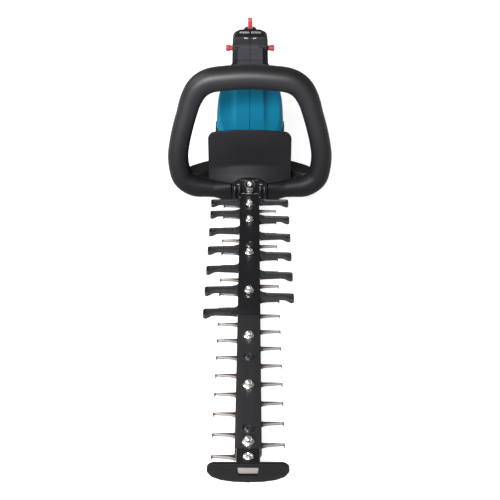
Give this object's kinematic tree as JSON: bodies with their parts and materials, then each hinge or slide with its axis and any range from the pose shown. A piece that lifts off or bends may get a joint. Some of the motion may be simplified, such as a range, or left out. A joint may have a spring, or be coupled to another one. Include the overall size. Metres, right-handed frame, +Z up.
{
  "type": "hedge trimmer",
  "caption": "Handheld battery hedge trimmer with a long double-sided reciprocating blade, comb guard, loop front handle, hand guard and D-shaped rear handle.",
  "frame": {"origin": "on the flat underside of the gear case cover, below the crank's axis; the tool rests with this face, the battery's base and the blade tip guard on the ground", "axes": "+Y from the blade's tip to the rear handle, +Z up from the ground, +X to the right when looking along +Y"},
  "size_m": [0.226, 0.9058, 0.197],
  "materials": {
    "teal_plastic": "satin moulded nylon",
    "black_plastic": "satin moulded nylon",
    "soft_black_grip": "soft-touch, low gloss",
    "red_plastic": "semi gloss",
    "ground_steel": "ground",
    "plated_steel": "bright zinc plate",
    "blackened_steel": "black coated",
    "painted_alloy": "black painted die casting",
    "laminated_steel": "bare laminations",
    "copper": "varnished copper wire",
    "bronze": "sintered bush",
    "circuit_board": "potted electronics"
  },
  "bodies": {
    "trimmer_body": {"housing_left": "teal_plastic", "housing_right": "teal_plastic", "rear_handle_left": "black_plastic", "rear_handle_right": "black_plastic", "handle_front_shell": "soft_black_grip", "handle_rear_shell": "soft_black_grip", "hand_guard": "black_plastic", "gear_case": "painted_alloy", "gear_case_cover": "black_plastic", "crank_bush": "bronze", "crank_bearing": "ground_steel", "motor_bearing_lower": "ground_steel", "motor_bearing_upper": "ground_steel", "motor_stator": "laminated_steel", "stator_winding": "copper", "motor_controller": "circuit_board", "trigger_switch": "circuit_board", "terminal_block": "black_plastic", "nose_screw": "plated_steel", "guide_bar": "blackened_steel", "comb_guard": "black_plastic", "tip_guard": "black_plastic", "tip_screw": "plated_steel", "blade_bolt_1": "blackened_steel", "blade_bolt_2": "blackened_steel", "blade_bolt_3": "blackened_steel", "blade_bolt_4": "blackened_steel", "blade_bolt_5": "blackened_steel", "blade_bolt_6": "blackened_steel", "blade_bolt_7": "blackened_steel", "blade_nut_1": "plated_steel", "blade_nut_2": "plated_steel", "blade_nut_3": "plated_steel", "blade_nut_4": "plated_steel", "blade_nut_5": "plated_steel", "blade_nut_6": "plated_steel", "blade_nut_7": "plated_steel", "housing_screw_1": "blackened_steel", "housing_screw_2": "blackened_steel", "housing_screw_3": "blackened_steel", "housing_screw_4": "blackened_steel", "rear_handle_screw_1": "blackened_steel", "rear_handle_screw_2": "blackened_steel", "rear_handle_screw_3": "blackened_steel"},
    "crank": {"crankshaft": "ground_steel", "crank_gear": "ground_steel"},
    "rotor": {"motor_shaft": "ground_steel", "rotor_core": "blackened_steel", "cooling_fan": "black_plastic"},
    "upper_cutter": {"upper_blade": "ground_steel", "upper_yoke": "blackened_steel"},
    "lower_cutter": {"lower_blade": "ground_steel", "lower_yoke": "blackened_steel"},
    "trigger_body": {"trigger": "black_plastic"},
    "lock_off_body": {"lock_off_lever": "red_plastic"},
    "lock_button_body": {"lock_button": "red_plastic"},
    "front_lever_body": {"front_lever": "black_plastic"},
    "battery": {"battery_case": "black_plastic", "battery_rails": "black_plastic"},
    "battery_latch_body": {"battery_latch": "red_plastic"}
  },
  "joints": [
    {"name": "crank_turn", "type": "hinge", "parent": "trimmer_body", "child": "crank", "pos_m": [0, 0, 0.025], "axis": [0, 0, 1], "range_deg": [-90, 90]},
    {"name": "rotor_spin", "type": "hinge", "parent": "trimmer_body", "child": "rotor", "pos_m": [0, 0.03, 0.025], "axis": [0, 0, 1], "range_deg": [-451, 451]},
    {"name": "upper_blade_slide", "type": "slide", "parent": "trimmer_body", "child": "upper_cutter", "axis": [0, 1, 0], "range_m": [-0.00755, 0.00755]},
    {"name": "lower_blade_slide", "type": "slide", "parent": "trimmer_body", "child": "lower_cutter", "axis": [0, 1, 0], "range_m": [-0.00755, 0.00755]},
    {"name": "trigger_squeeze", "type": "hinge", "parent": "trimmer_body", "child": "trigger_body", "pos_m": [0, 0.19, 0.14], "axis": [1, 0, 0], "range_deg": [0, 10], "stiffness_Nm_per_rad": 2, "springref_deg": -5.73},
    {"name": "lock_off_tilt", "type": "hinge", "parent": "trimmer_body", "child": "lock_off_body", "pos_m": [0, 0.209, 0.159], "axis": [-1, 0, 0], "range_deg": [0, 12], "stiffness_Nm_per_rad": 0.5, "springref_deg": -5.73},
    {"name": "lock_button_slide", "type": "slide", "parent": "trimmer_body", "child": "lock_button_body", "axis": [1, 0, 0], "range_m": [-0.005, 0.005], "stiffness_N_per_m": 400},
    {"name": "front_lever_squeeze", "type": "hinge", "parent": "trimmer_body", "child": "front_lever_body", "pos_m": [0, -0.002, 0.188], "axis": [-1, 0, 0], "range_deg": [0, 6], "stiffness_Nm_per_rad": 3, "springref_deg": -5.73},
    {"name": "battery_slide", "type": "slide", "parent": "trimmer_body", "child": "battery", "axis": [0, 1, 0], "range_m": [0, 0.12]},
    {"name": "battery_latch_press", "type": "slide", "parent": "battery", "child": "battery_latch_body", "axis": [0, 0, -1], "range_m": [0, 0.004], "stiffness_N_per_m": 600, "springref_m": -0.002}
  ],
  "couplings": [
    {"joint": "rotor_spin", "follows": "crank_turn", "ratio": -5},
    {"joint": "upper_blade_slide", "follows": "crank_turn", "m_per_rad": 0.0047747},
    {"joint": "lower_blade_slide", "follows": "crank_turn", "m_per_rad": -0.0047747}
  ]
}
